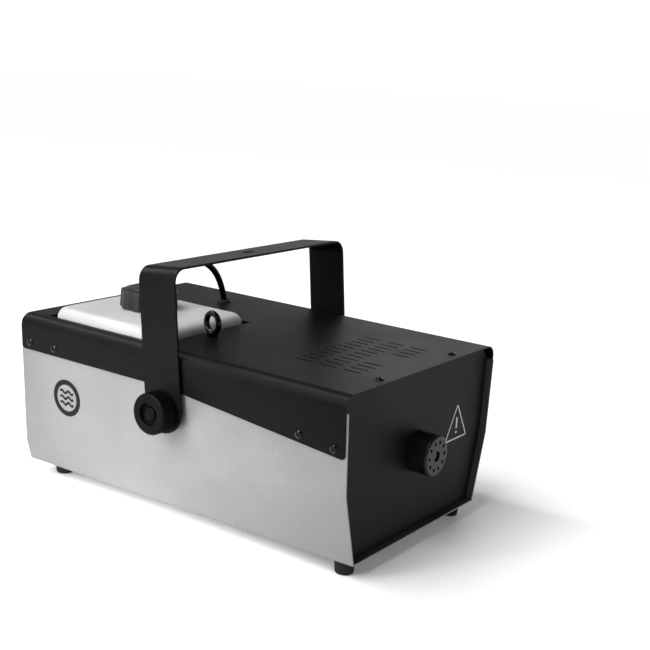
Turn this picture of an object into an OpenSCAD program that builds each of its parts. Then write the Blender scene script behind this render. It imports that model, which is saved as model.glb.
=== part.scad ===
// Fog machine: folded steel housing with a lift-out fluid tank, a clamp bracket, a pump and a heater.
// Millimetres, +Z up. The nozzle faces -Y and the rear panel faces +Y.
// The origin is on the surface that the feet stand on, midway along the machine.

/* [Housing] */
// Length of the housing, front edge to rear edge
body_l = 386; // [380:1:392]
// Width of the inner shell at its top edge
body_w = 240; // [238:1:242]
// Height of the housing above its floor sheet
body_h = 150; // [149:1:151]
// Thickness of the sheet steel
sheet_t = 1.2; // [1:0.1:1.5]
// Outer radius of the rolled edges of the top cover
roll_r = 11; // [9:0.5:12]
// Height of the side crease at the front
crease_front_z = 65; // [60:1:70]
// Height of the side crease at the rear
crease_rear_z = 21; // [18:1:26]
// Inward lean of the side above the crease, per unit of height
side_lean = 0.048; // [0.03:0.002:0.05]
// Inward lean of the side below the crease, per unit of height
lower_lean = 0.262; // [0.2:0.01:0.28]
// Lower edge of the cover's side at the rear
flange_rear_z = 116; // [114:1:118]
// Lower edge of the cover's side at the front
flange_front_z = 97; // [95:1:100]
// Depth of the end panels inside the housing's edges
panel_recess = 6.5; // [5:0.5:8]

/* [Feet] */
// Height of the rubber feet
foot_h = 14; // [12:1:16]
// Diameter of a foot where it meets the housing
foot_d = 18.6; // [17:0.2:20]

/* [Bracket] */
// Width of the bracket strap
strap_w = 42; // [38:1:43]
// Thickness of the bracket strap
strap_t = 2; // [2:0.5:3]
// Outer radius of the bracket's bends
strap_bend_r = 13; // [9:1:15]
// Inner half-width between the bracket's legs
strap_half = 123; // [122.8:0.1:123.2]
// Height of the bracket's top above its pivot
strap_rise = 126.2; // [123:0.2:130]
// Rearward lean of the bracket as it stands
bracket_lean = 5.5; // [0:0.5:8]
// Height of the pivot above the floor sheet
pivot_z = 96.8; // [95:0.2:97.4]
// Diameter of the clamp hole in the bracket's crossbar
clamp_hole_d = 11; // [8:0.5:13]

/* [Knobs] */
// Diameter of a clamp knob
knob_d = 37.6; // [34:0.2:38]
// Distance from the middle of the machine to a knob's face
knob_face_x = 143.5; // [142:0.5:145]

/* [Tank] */
// Height of the tank's top above the floor sheet
tank_top_z = 160.5; // [158:0.5:161]
// Plan radius of the tank's corners
tank_corner_r = 15; // [12:1:24]
// Radius of the tank's long edges
tank_edge_r = 9; // [7:1:10]
// Outer diameter of the screw cap
cap_d = 57; // [54:1:60]
// Height of the screw cap
cap_h = 19.5; // [18:0.5:20]

/* [Nozzle] */
// Outer diameter of the nozzle guard
nozzle_d = 37; // [34:1:40]
// Height of the nozzle above the floor sheet
nozzle_z = 74; // [72:1:76]
// Length of the nozzle guard in front of the front panel
nozzle_reach = 21; // [18:1:24]

/* [Hidden] */
$fn = 48;
slack = 1;

// Ends of the housing and of the parts that stand out from it, measured from the housing's middle.
front_y = -body_l / 2;
rear_y = body_l / 2;
front_panel_y = front_y + panel_recess;
rear_panel_y = rear_y - panel_recess;
nozzle_face_y = front_panel_y - nozzle_reach;
rear_fitting_reach = 15;
mid_y = -(nozzle_face_y + rear_panel_y + rear_fitting_reach) / 2;

// Housing section: the side leans in by side_lean down to the crease, and by lower_lean below it.
half_w = body_w / 2;
roll_z = body_h - roll_r;
shell_top_z = 136;
foot_of_side = half_w - side_lean * roll_z;
lean_deg = atan(side_lean);

// Cover: its side lies just outside the shell's side.
cover_gap = 0.15;
cover_end_gap = 1.5;
cover_out = cover_gap + sheet_t;

// End panels, inside the shell and under the cover. What stands on the floor sheet stands at floor_z.
panel_t = 1.5;
panel_gap = 0.35;
panel_top_z = body_h - sheet_t - cover_gap;
panel_flange_z = sheet_t + panel_gap;
floor_z = sheet_t + 0.1;

// Tank bay and tank.
bay_x = [-108.3, 16.6];
bay_y = [20, 167.5];
tank_gap = 1.5;
tank_x = [bay_x[0] + tank_gap, bay_x[1] - tank_gap];
tank_y = [bay_y[0] + tank_gap, bay_y[1] - tank_gap];
tank_z = [6.2, tank_top_z];
tank_wall = 2.2;
neck_x = -43.5;
neck_y = 98;
neck_r = 22;
neck_bore_r = 19;
neck_z = tank_top_z + 13;
cap_z = tank_top_z + 1;
cap_lobes = 10;
pickup_r = 2.8;
pickup_foot_z = 22;

// Eye bolt: a ring on a hexagonal collar. The ring is turned so that a safety wire clears the bracket.
eye_x = -52.4;
eye_y = 8.5;
eye_turn = 12;
eye_ring_r = 9.15;
eye_wire_r = 2.7;
eye_bore_r = 6.7;
eye_ring_z = body_h + 12.5;
eye_collar_h = 4;
eye_shank_r = 3;

// Hose and its grommet. The hose hangs in the plane y = neck_y, from the cap's elbow to the pump's barb.
hose_d = 6.5;
grommet_hole_r = 5.6;
hose_x = 67.4;
hose_route = [[-35, 192.5], [-31.5, 194.5], [-27.8, 196], [-23.9, 197.2], [-20, 198], [-12, 198.8],
    [-4, 199.1], [5, 199.1], [14, 198.9], [22, 198.3], [30, 196.9], [35, 195.3], [40, 193], [47, 188.2],
    [52.6, 183], [57.6, 176.5], [61.4, 169.5], [64.3, 163], [66.3, 157.8], [67.2, 153.6], [67.4, 149],
    [67.4, 142], [67.4, 134]];
elbow_tilt = 30;
elbow_r = 3.9;
elbow_end = hose_route[0];

// Pivot stack, from the shell outwards on each side.
stud_r = 4;
stud_clear = 0.05;
pivot_nut_x = [109.5, 116];
friction_washer_x = [118.9, strap_half - 0.1];
friction_washer_r = 17.8;
clamp_washer_x = [strap_half + strap_t, strap_half + strap_t + 1.4];
knob_back_x = clamp_washer_x[1] + 0.1;
stud_end_x = knob_face_x - 6;
rib_depth = 0.7;

// Screws. A hole that takes a screw's thread is thread_gap larger than the screw.
screw_r = 1.75;
screw_hole_r = 2.05;
thread_gap = 0.05;
side_screws = [[180.4, 123.5], [146.6, 123.5], [-145.3, 108.3], [-180.7, 104.3]];
top_screw_x = 59;
top_screw_y = -181.3;
foot_x = 87;
foot_ys = [-176, 168];
foot_seat_h = 8;

// Vents: rows along the machine, columns across it, and no slots in the middle of the last column.
vent_x = -2;
vent_pitch = 10.75;
vent_len = 18.7;
vent_w = 2.2;
vent_starts = [-90.3, -115.9, -141.6];

// Nozzle guard: a ring of small holes round the outlet.
outlet_r = 4.75;
guard_holes = 10;
guard_hole_r = 1.7;
guard_ring_r = 12.6;
jet_hole_r = 8;
jet_pipe_r = 4;

// Heater, in line with the nozzle, and the metal tube that feeds it.
heater_y = [-146, -44];
heater_half = 26;
heater_z = [nozzle_z - 19, nozzle_z + 19];
jacket_t = 9;
jacket_y = [heater_y[0] - 6, heater_y[1] + 6];
feed_r = 1.5;
feed_route = [[hose_x, neck_y, 20], [hose_x, neck_y, 14], [hose_x, 90, 9], [hose_x, 74, 8], [hose_x, 40, 8],
    [hose_x, 10, 8], [66, -2, 9], [58, -10, 14], [48, -14, 26], [36, -16, 44], [22, -17, 60], [10, -19, 70],
    [3, -25, 74], [0, -32, 74]];

// Pump, upright under the hose grommet.
coil_z = [52, 92];
coil_r = 17;
coil_bore_r = 7;
yoke_t = 2.1;
plunger_r = 5;
plunger_z = [60, 96];
spring_r = 3.9;
spring_z = [43, 59];

// Control board on its standoffs.
board_x = [60, 98];
board_y = [-150, -40];
board_z = 16;
board_t = 1.6;

// Rear fittings, on the side of the machine beside the tank. Each place is [x, z].
inlet_at = [72, 44];
fuse_at = [74, 92];
switch_at = [44, 92];
lamp_at = [100, 92];
socket_at = [72, 122];
inlet_half = [13.5, 9.9];
inlet_screw_x = 20;
inlet_hole_r = 1.7;
inlet_pins_at = [[-7, -1.5], [0, 2.5], [7, -1.5]];
fuse_r = 6.1;
switch_half = [6.4, 9.6];
lamp_r = 3.05;
socket_r = 7.5;
rocker_tilt = 9;

function unit(v) = v / norm(v);
function lerp(a, b, t) = a + (b - a) * t;
function along(y) = (y - front_y) / body_l;
function crease_z(y) = lerp(crease_front_z, crease_rear_z, along(y));
function crease_x(y) = foot_of_side + side_lean * crease_z(y);
function bottom_x(y) = crease_x(y) - lower_lean * crease_z(y);
function side_x(z) = foot_of_side + side_lean * z;
function cover_x(z) = side_x(z) + cover_out;

// Points of an arc, by angle, for outlines that need round corners.
function arc(cx, cy, r, a0, a1, n) = [for (i = [0:n])
    let (a = lerp(a0, a1, i / n)) [cx + r * cos(a), cy + r * sin(a)]];

// Offset of the corner b of a polyline a-b-c by t to its left.
function left_of(a, b) = let (d = unit(b - a)) [-d.y, d.x];
function mitre(a, b, c, t) = let (m = left_of(a, b), n = left_of(b, c)) b + t * (m + n) / (1 + m * n);

// Half section of the shell at y, from the left top edge down and across, moved inwards by t.
function section(y, t) =
    let (
        top = [-side_x(shell_top_z), shell_top_z],
        crease = [-crease_x(y), crease_z(y)],
        low = [-bottom_x(y), 0],
        low_right = [bottom_x(y), 0],
        c = mitre(top, crease, low, t),
        b = mitre(crease, low, low_right, t),
        edge = [top.x + t / cos(lean_deg), shell_top_z]
    ) [edge, c, b, [-b.x, b.y], [-c.x, c.y], [-edge.x, edge.y]];

function reversed(list) = [for (i = [len(list) - 1:-1:0]) list[i]];

// Sweep frames of a round tube along a path. side is a direction that the path never follows.
function path_dir(p, i) = unit(p[min(i + 1, len(p) - 1)] - p[max(i - 1, 0)]);
function tube_ring(p, i, r, k, side) =
    let (t = path_dir(p, i), u = unit(cross(side, t)), v = cross(t, u))
    [for (j = [0:k - 1]) p[i] + r * (cos(360 * j / k) * u + sin(360 * j / k) * v)];

// Closed solid through a row of rings. Each ring runs clockwise as seen from the first ring's end.
module skin(rings) {
    n = len(rings);
    k = len(rings[0]);
    polyhedron(
        points = [for (r = rings) each r],
        faces = concat(
            [[for (j = [0:k - 1]) j]],
            [for (i = [0:n - 2]) for (j = [0:k - 1])
                each [[i * k + j, (i + 1) * k + j, (i + 1) * k + (j + 1) % k],
                      [i * k + j, (i + 1) * k + (j + 1) % k, i * k + (j + 1) % k]]],
            [[for (j = [k - 1:-1:0]) (n - 1) * k + j]]),
        convexity = 8);
}

module tube(path, r, k, side) skin([for (i = [0:len(path) - 1]) tube_ring(path, i, r, k, side)]);

// From the housing's own frame, with its floor sheet at z = 0, to the part's frame.
module place() translate([0, mid_y, foot_h]) children();

module both_sides() {
    children();
    mirror([1, 0, 0]) children();
}

// Extrusions of an outline along an axis, between two stations.
module along_y(y0, y1) translate([0, y1, 0]) rotate([90, 0, 0]) linear_extrude(y1 - y0) children();
module along_x(x0, x1) translate([x0, 0, 0]) rotate([90, 0, 90]) linear_extrude(x1 - x0) children();

// Round bars along an axis, between two stations.
module bar_x(x0, x1, r) translate([x0, 0, 0]) rotate([0, 90, 0]) cylinder(r = r, h = x1 - x0);
module bar_y(y0, y1, r) translate([0, y1, 0]) rotate([90, 0, 0]) cylinder(r = r, h = y1 - y0);

module box(lo, hi) translate(lo) cube(hi - lo);

// Turns +Z to the outward normal of the housing's right side, at height z on the cover.
module on_side(y, z) translate([cover_x(z), y, z]) rotate([0, 90 + lean_deg, 0]) children();

module button_screw(shank) {
    head_r = 3.8;
    head_h = 1.85;
    difference() {
        rotate_extrude() polygon(concat(
            [[0, 0], [head_r, 0], [head_r, 0.5]],
            arc(0, -4.2, 6.05, 51, 79, 6),
            [[0, head_h]]));
        translate([0, 0, head_h - 0.95]) cylinder(r = 1.3, h = 2, $fn = 6);
    }
    translate([0, 0, -shank]) cylinder(r = screw_r, h = shank);
}

// Holes for the side screws, on both sides.
module side_screw_holes(r) both_sides() for (s = side_screws) on_side(s[0], s[1])
    translate([0, 0, -12]) cylinder(r = r, h = 16);

module hex_nut(across, h, hole_r) difference() {
    cylinder(d = across / cos(30), h = h, $fn = 6);
    translate([0, 0, -slack]) cylinder(r = hole_r, h = h + 2 * slack);
}

module washer(r, h, hole_r) difference() {
    cylinder(r = r, h = h);
    translate([0, 0, -slack]) cylinder(r = hole_r, h = h + 2 * slack);
}

// ---- Housing ----

module chassis_shell() place() color("silver") difference() {
    skin([for (i = [0:5]) let (ends = [front_y, rear_y]) [
        for (e = [[ends[0], 0], [ends[1], 0], [ends[1], sheet_t], [ends[0], sheet_t]])
            let (p = section(e[0], e[1])[i]) [p.x, e[0], p.y]]]);
    both_sides() translate([0, 0, pivot_z]) bar_x(105, 125, stud_r + 0.5);
    side_screw_holes(screw_hole_r);
    both_sides() for (y = foot_ys) translate([foot_x, y, -slack]) cylinder(r = screw_hole_r, h = 4);
}

// Section of the cover at a distance t inside its outer surface, down to height low.
module cover_section(t, low) {
    edge_x = cover_x(roll_z - roll_r * sin(lean_deg)) - roll_r * cos(lean_deg);
    r = roll_r - t;
    touch = [edge_x + r * cos(lean_deg), roll_z - r * sin(lean_deg)];
    foot = [cover_x(low) - t / cos(lean_deg), low];
    half = [[edge_x, body_h - t], touch, foot];
    polygon(concat(half, [for (p = reversed(half)) [-p.x, p.y]]));
    for (s = [-1, 1]) translate([s * edge_x, roll_z]) circle(r = r, $fn = 96);
}

// Outline of the cover seen from the side, with the kink of its lower edge under the bracket.
module cover_side_outline() {
    y0 = front_y + cover_end_gap;
    y1 = rear_y - cover_end_gap;
    r = 3.5;
    polygon(concat(
        arc(y0 + r, flange_front_z + r, r, 180, 260, 6),
        [[0, flange_rear_z]],
        arc(y1 - r, flange_rear_z + r, r, 270, 360, 6),
        [[y1, body_h + slack], [y0, body_h + slack]]));
}

module vent_slots() for (c = [0:2]) for (i = [-5:5]) if (c < 2 || abs(i) > 1)
    translate([vent_x + i * vent_pitch, vent_starts[c] - vent_len, body_h - 3]) {
        translate([-vent_w / 2, vent_w / 2, 0]) cube([vent_w, vent_len - vent_w, 5]);
        for (y = [vent_w / 2, vent_len - vent_w / 2])
            translate([0, y, 0]) cylinder(d = vent_w, h = 5, $fn = 16);
    }

module bay_opening() {
    r = 1.5;
    box([bay_x[0] + r, bay_y[0], body_h - 5], [bay_x[1] - r, bay_y[1], body_h + slack]);
    box([bay_x[0], bay_y[0] + r, body_h - 5], [bay_x[1], bay_y[1] - r, body_h + slack]);
    for (x = [bay_x[0] + r, bay_x[1] - r]) for (y = [bay_y[0] + r, bay_y[1] - r])
        translate([x, y, body_h - 5]) cylinder(r = r, h = 5 + slack);
}

module top_cover() place() color("#262627") difference() {
    intersection() {
        difference() {
            along_y(front_y + cover_end_gap, rear_y - cover_end_gap) cover_section(0, 90);
            along_y(front_y, rear_y) cover_section(sheet_t, 80);
        }
        along_x(-half_w - 10, half_w + 10) cover_side_outline();
    }
    vent_slots();
    bay_opening();
    side_screw_holes(screw_hole_r);
    both_sides() translate([top_screw_x, top_screw_y, body_h - 4]) cylinder(r = screw_hole_r, h = 6);
    translate([eye_x, eye_y, body_h - 4]) cylinder(r = eye_shank_r + 0.1, h = 6);
    translate([hose_x, neck_y, body_h - 4]) cylinder(r = grommet_hole_r, h = 6);
}

// Outline of an end panel: the shell's inner section, closed at the top under the cover.
module panel_outline(y) {
    s = section(y, panel_flange_z);
    shoulder = [s[5].x - 0.2, roll_z - 2];
    corner = [half_w - roll_r - sheet_t, panel_top_z];
    polygon(concat(s, [shoulder, corner, [-corner.x, corner.y], [-shoulder.x, shoulder.y]]));
}

// Holes through an end panel at [x, z], round or rectangular.
module panel_hole(y, at, r) translate([at.x, 0, at.y]) bar_y(y - 5, y + 5, r);
module panel_window(y, at, half)
    box([at.x - half.x, y - 5, at.y - half.y], [at.x + half.x, y + 5, at.y + half.y]);

// Flange on an end panel's floor edge.
module floor_flange(half, y0, y1) box([-half, y0, panel_flange_z], [half, y1, panel_flange_z + sheet_t]);

// Tabs that take the side screws, bent back from an end panel.
module side_tabs(y0, y1, z0, z1) difference() {
    low = side_x(z0) - sheet_t - 0.5;
    high = side_x(z1) - sheet_t - 0.5;
    tab_t = sheet_t + 0.2;
    both_sides() along_y(y0, y1) polygon([[low, z0], [high, z1], [high - tab_t, z1], [low - tab_t, z0]]);
    side_screw_holes(screw_r + thread_gap);
}

module front_panel() place() color("#1f1f20") {
    flange_y = front_panel_y + 14;
    flange_half = half_w - 12;
    difference() {
        union() {
            along_y(front_panel_y, front_panel_y + panel_t) panel_outline(front_panel_y);
            box([-flange_half, front_panel_y, panel_top_z - sheet_t], [flange_half, flange_y, panel_top_z]);
            floor_flange(85, front_panel_y, front_panel_y + 12);
        }
        panel_hole(front_panel_y, [0, nozzle_z], jet_hole_r);
        both_sides() translate([top_screw_x, top_screw_y, body_h - 6])
            cylinder(r = screw_r + thread_gap, h = 8);
    }
    side_tabs(front_panel_y + panel_t - 0.1, flange_y, 98, 112);
}

module rear_panel() place() color("#1f1f20") {
    fit = 0.2;
    difference() {
        union() {
            along_y(rear_panel_y - panel_t, rear_panel_y) panel_outline(rear_panel_y);
            floor_flange(105, rear_panel_y - 12, rear_panel_y);
        }
        panel_window(rear_panel_y, inlet_at, inlet_half + [fit, fit]);
        for (s = [-1, 1]) panel_hole(rear_panel_y, inlet_at + [s * inlet_screw_x, 0], inlet_hole_r);
        panel_hole(rear_panel_y, fuse_at, fuse_r + fit);
        panel_window(rear_panel_y, switch_at, switch_half + [fit, fit]);
        panel_hole(rear_panel_y, lamp_at, lamp_r + fit);
        panel_hole(rear_panel_y, socket_at, socket_r + fit);
    }
    side_tabs(rear_panel_y - 14, rear_panel_y - panel_t + 0.1, 117, 131);
}

// Partition round the tank bay: a front wall, narrower at the bottom, a side wall and a foot.
module bay_wall() place() color("lightgray") {
    wall_x = bay_x[1] + 3.4;
    wall_y = 4.2;
    step_z = 70;
    upper = [-108, 141];
    lower_x = -100;
    side_end = [174, 147];
    flange_x = [-95, 18];
    box([upper.x, wall_y, step_z], [wall_x + sheet_t, wall_y + sheet_t, upper.y]);
    box([lower_x, wall_y, floor_z], [wall_x + sheet_t, wall_y + sheet_t, step_z]);
    box([wall_x, wall_y + sheet_t, floor_z], [wall_x + sheet_t, side_end.x, side_end.y]);
    box([flange_x[0], wall_y - 11, floor_z], [flange_x[1], wall_y, floor_z + sheet_t]);
}

// Two strips that the tank stands on.
module tank_pads() place() color("#2b2b2b")
    for (y = [36, 130]) box([-84, y, sheet_t + 0.05], [-2, y + 18, tank_z[0] - 0.1]);

// Tunnel over the heater that keeps its heat off the cover, on a foot along each side.
module heat_shield() place() color("gainsboro") {
    t = 1;
    half = 52;
    top_z = 129;
    y0 = -160;
    y1 = -30;
    box([-half, y0, top_z - t], [half, y1, top_z]);
    both_sides() box([half - t, y0, floor_z], [half, y1, top_z - t]);
    both_sides() box([half - t, y0, floor_z], [half + 8, y1, floor_z + t]);
}

module cover_side_screws() place() color("#1b1b1c")
    both_sides() for (s = side_screws) on_side(s[0], s[1]) button_screw(5.5);

module cover_top_screws() place() color("#1b1b1c")
    both_sides() translate([top_screw_x, top_screw_y, body_h]) button_screw(6);

// Puts a copy at the top of each foot.
module at_feet() both_sides() for (y = foot_ys) translate([foot_x, y, 0]) children();

// Tapered rubber foot with a deep seat for its screw.
module foot() difference() {
    translate([0, 0, -foot_h]) cylinder(r1 = foot_d / 2 - 1.3, r2 = foot_d / 2, h = foot_h);
    translate([0, 0, -foot_h - slack]) cylinder(r = 4.4, h = foot_seat_h + slack);
    translate([0, 0, -foot_h]) cylinder(r = screw_hole_r, h = foot_h + slack);
}

module feet() place() color("#151515") at_feet() foot();

module foot_screws() place() color("silver") at_feet() translate([0, 0, foot_seat_h - foot_h]) {
    translate([0, 0, -2.4]) cylinder(r1 = 3, r2 = 3.6, h = 2.4);
    cylinder(r = screw_r, h = 13);
}

module foot_nuts() place() color("silver") at_feet() translate([0, 0, panel_flange_z + sheet_t + 0.1])
    hex_nut(7, 3.2, screw_r);

module pivot_nuts() place() color("silver") both_sides() translate([pivot_nut_x[0], 0, pivot_z])
    rotate([0, 90, 0]) hex_nut(13, pivot_nut_x[1] - pivot_nut_x[0], stud_r + stud_clear);

// Rubber discs between the housing and the bracket, which hold the bracket at its angle.
module friction_washers() place() color("#2a2a2a") both_sides() translate([friction_washer_x[0], 0, pivot_z])
    rotate([0, 90, 0]) washer(friction_washer_r, friction_washer_x[1] - friction_washer_x[0], stud_r + 0.4);

// ---- Bracket and knobs ----

// The strap's outline seen from the front, at a distance t inside its outer surface.
module strap_section(t) {
    half = strap_half + strap_t - t;
    top = strap_rise - t;
    r = strap_bend_r - t;
    polygon([[-half, -30], [half, -30], [half, top - r], [half - r, top], [r - half, top], [-half, top - r]]);
    for (s = [-1, 1]) translate([s * (half - r), top - r]) circle(r = r, $fn = 72);
}

// Places what belongs to the bracket, which leans to the rear as it stands.
module on_bracket() translate([0, 0, pivot_z]) rotate([-bracket_lean, 0, 0]) children();

module bracket() place() color("#242425") on_bracket() difference() {
    reach = strap_half + 20;
    intersection() {
        difference() {
            along_y(-strap_w / 2, strap_w / 2) strap_section(0);
            along_y(-strap_w, strap_w) strap_section(strap_t);
        }
        union() {
            along_x(-reach, reach) translate([-strap_w / 2, 0]) square([strap_w, strap_rise + 10]);
            bar_x(-reach, reach, strap_w / 2);
        }
    }
    bar_x(-reach, reach, stud_r + stud_clear);
    translate([0, 0, strap_rise - 10]) cylinder(d = clamp_hole_d, h = 20);
}

module clamp_washers() place() color("silver") on_bracket() both_sides() translate([clamp_washer_x[0], 0, 0])
    rotate([0, 90, 0]) washer(11, clamp_washer_x[1] - clamp_washer_x[0], stud_r + stud_clear);

// Knob on the +X side, turned on the X axis: a collar, a ribbed rim and a face with a sunk ring.
module knob_body() translate([0, 0, pivot_z]) difference() {
    collar_h = 1.2;
    chamfer = 1;
    face_r = knob_d / 2 - rib_depth;
    ring_depth = 4;
    ring_r = [6.3, 9.7];
    boss_drop = 1.2;
    union() {
        bar_x(knob_back_x, knob_back_x + collar_h, knob_d / 2 - 4);
        along_x(knob_back_x + collar_h, knob_face_x - chamfer) knob_rim();
        translate([knob_face_x - chamfer, 0, 0]) rotate([0, 90, 0])
            cylinder(r1 = face_r, r2 = face_r - chamfer, h = chamfer);
    }
    rotate([0, 90, 0]) translate([0, 0, knob_face_x - ring_depth]) difference() {
        cylinder(r = ring_r[1], h = ring_depth + slack);
        translate([0, 0, -slack]) cylinder(r = ring_r[0], h = ring_depth + slack - boss_drop);
    }
    bar_x(knob_back_x - slack, stud_end_x, stud_r + stud_clear);
}

module knob_rim() {
    ribs = 48;
    polygon([for (i = [0:2 * ribs - 1])
        let (a = 180 * i / ribs, r = knob_d / 2 - (i % 2) * rib_depth) [r * cos(a), r * sin(a)]]);
}

module stud() translate([0, 0, pivot_z]) bar_x(106, stud_end_x, stud_r);

module right_knob() place() color("#1c1c1d") knob_body();
module left_knob() place() color("#1c1c1d") mirror([1, 0, 0]) knob_body();
module right_stud() place() color("silver") stud();
module left_stud() place() color("silver") mirror([1, 0, 0]) stud();

// ---- Safety eye, grommet and hose ----

module eye_bolt() place() color("#1a1a1b") translate([eye_x, eye_y, 0]) rotate([0, 0, -eye_turn]) {
    difference() {
        union() {
            translate([0, 0, eye_ring_z]) rotate([0, 90, 0])
                rotate_extrude($fn = 72) translate([eye_ring_r, 0]) circle(r = eye_wire_r, $fn = 32);
            translate([0, 0, body_h]) cylinder(d = 9.6 / cos(30), h = eye_collar_h, $fn = 6);
        }
        translate([0, 0, eye_ring_z]) bar_x(-10, 10, eye_bore_r);
    }
    translate([0, 0, body_h - 12]) cylinder(r = eye_shank_r, h = 12);
}

module eye_nut() place() color("silver") translate([eye_x, eye_y, body_h - sheet_t]) {
    washer_h = 1.1;
    nut_h = 5;
    hole_r = eye_shank_r + thread_gap;
    translate([0, 0, -washer_h]) washer(6.2, washer_h, hole_r);
    translate([0, 0, -washer_h - nut_h]) hex_nut(10, nut_h, hole_r);
}

module hose_grommet() place() color("#111111") translate([hose_x, neck_y, body_h]) rotate_extrude() {
    bore = hose_d / 2 + 0.2;
    neck = grommet_hole_r - 0.2;
    rim = bore + 3.7;
    polygon([[bore, -3.4], [rim, -3.4], [rim, -sheet_t], [neck, -sheet_t], [neck, 0],
        [rim, 0], [rim - 0.4, 1.6], [bore + 1.4, 2.8], [bore + 0.5, 2.8], [bore + 0.1, 1.8]]);
}

// Elbow on the cap that the hose is pushed onto. The cap turns under it.
module hose_elbow() place() color("#151515") translate([neck_x, neck_y, 0]) {
    base_z = cap_z + cap_h + 0.1;
    nut_h = 3;
    reach = elbow_end.x - neck_x;
    bend_z = elbow_end.y - reach * tan(elbow_tilt);
    translate([0, 0, base_z]) cylinder(d = 12 / cos(30), h = nut_h, $fn = 6);
    translate([0, 0, base_z]) cylinder(r = elbow_r, h = bend_z - base_z);
    translate([0, 0, bend_z]) {
        sphere(r = elbow_r);
        rotate([0, -elbow_tilt, 0]) bar_x(0, reach / cos(elbow_tilt) - 0.05, elbow_r);
    }
}

module fluid_hose() place() color("#101010")
    tube([for (p = hose_route) [p.x, neck_y, p.y]], hose_d / 2, 10, [0, 1, 0]);

// ---- Tank, cap and pickup ----

// Box with round corners and edges, at a distance inset inside the tank's outer surface.
module tank_form(inset) hull() for (x = [tank_x[0] + tank_corner_r, tank_x[1] - tank_corner_r])
    for (y = [tank_y[0] + tank_corner_r, tank_y[1] - tank_corner_r])
        for (z = [tank_z[0] + tank_edge_r, tank_z[1] - tank_edge_r]) translate([x, y, z])
            rotate_extrude($fn = 32) translate([tank_corner_r - tank_edge_r, 0])
                intersection() {
                    circle(r = tank_edge_r - inset, $fn = 24);
                    translate([inset + tank_edge_r - tank_corner_r, -tank_edge_r]) square([60, 60]);
                }

module tank() place() color("#dfe4e8", 0.85) difference() {
    bead_z = neck_z - 5;
    union() {
        tank_form(0);
        translate([neck_x, neck_y, tank_top_z - 1]) cylinder(r = neck_r, h = neck_z - tank_top_z + 1);
        translate([neck_x, neck_y, bead_z]) cylinder(r = neck_r + 1.6, h = 2);
    }
    tank_form(tank_wall);
    translate([neck_x, neck_y, tank_top_z - 6]) cylinder(r = neck_bore_r, h = 40);
}

// Outline of the cap: round, with a hollow for a finger between each two lobes.
module cap_grip() {
    hollow_r = 10;
    hollow_depth = 3;
    difference() {
        circle(d = cap_d, $fn = 96);
        for (i = [0:cap_lobes - 1]) rotate(360 * i / cap_lobes)
            translate([cap_d / 2 + hollow_r - hollow_depth, 0]) circle(r = hollow_r, $fn = 64);
    }
}

module cap() place() color("#1d1d1e") translate([neck_x, neck_y, cap_z]) difference() {
    shoulder_h = 1.2;
    disc_h = 0.8;
    side_h = cap_h - shoulder_h - disc_h;
    union() {
        linear_extrude(side_h) cap_grip();
        translate([0, 0, side_h]) linear_extrude(shoulder_h) scale(0.95) cap_grip();
        translate([0, 0, side_h + shoulder_h]) cylinder(r = 18.5, h = disc_h);
    }
    translate([0, 0, -slack]) cylinder(r = neck_r + 2, h = neck_z - cap_z + 1.6 + slack);
}

module cap_seal() place() color("#c8c2b4") translate([neck_x, neck_y, neck_z + 0.1])
    washer(neck_r, 1.4, pickup_r + 0.6);

// Stiff tube from the cap's underside down to the filter.
module pickup_tube() place() color("#e8e8e4") translate([neck_x, neck_y, 0]) difference() {
    translate([0, 0, pickup_foot_z]) cylinder(r = pickup_r, h = neck_z + 1.6 - pickup_foot_z);
    translate([0, 0, pickup_foot_z - slack]) cylinder(r = pickup_r - 1, h = neck_z - pickup_foot_z + slack);
}

module pickup_filter() place() color("#b9a878") translate([neck_x, neck_y, pickup_foot_z]) {
    weight_h = 10;
    sleeve_h = 6;
    translate([0, 0, -weight_h]) cylinder(r = 6.5, h = weight_h);
    difference() {
        cylinder(r = pickup_r + 1.6, h = sleeve_h);
        cylinder(r = pickup_r + 0.1, h = sleeve_h + slack);
    }
}

// ---- Nozzle and heater ----

module nozzle_guard() place() color("#1a1a1b") difference() {
    r = nozzle_d / 2;
    edge_r = 2;
    face_t = 5;
    wall_t = 2.2;
    rounded_edge = arc(r - edge_r, nozzle_reach - edge_r, edge_r, 0, 90, 6);
    translate([0, front_panel_y, nozzle_z]) rotate([90, 0, 0]) rotate_extrude($fn = 96)
        polygon(concat([[0, 0], [r, 0]], rounded_edge, [[0, nozzle_reach]]));
    translate([0, 0, nozzle_z]) {
        bar_y(nozzle_face_y - slack, front_panel_y + slack, outlet_r);
        bar_y(nozzle_face_y + face_t, front_panel_y + slack, r - wall_t);
        for (i = [0:guard_holes - 1]) rotate([0, 360 * i / guard_holes, 0]) translate([guard_ring_r, 0, 0])
            bar_y(nozzle_face_y - slack, nozzle_face_y + face_t + slack, guard_hole_r);
    }
}

// Jet inside the guard, with a hexagon for a spanner and a pipe back to the heater.
module nozzle_tip() place() color("#b5a642") translate([0, 0, nozzle_z]) difference() {
    hex_y = [nozzle_face_y + 8, nozzle_face_y + 13];
    union() {
        bar_y(nozzle_face_y + 2.2, hex_y[0], 3.4);
        translate([0, hex_y[1], 0]) rotate([90, 0, 0])
            cylinder(d = 10 / cos(30), h = hex_y[1] - hex_y[0], $fn = 6);
        bar_y(hex_y[1], heater_y[0], jet_pipe_r);
    }
    bar_y(nozzle_face_y, heater_y[0] + slack, 0.8);
}

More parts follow.
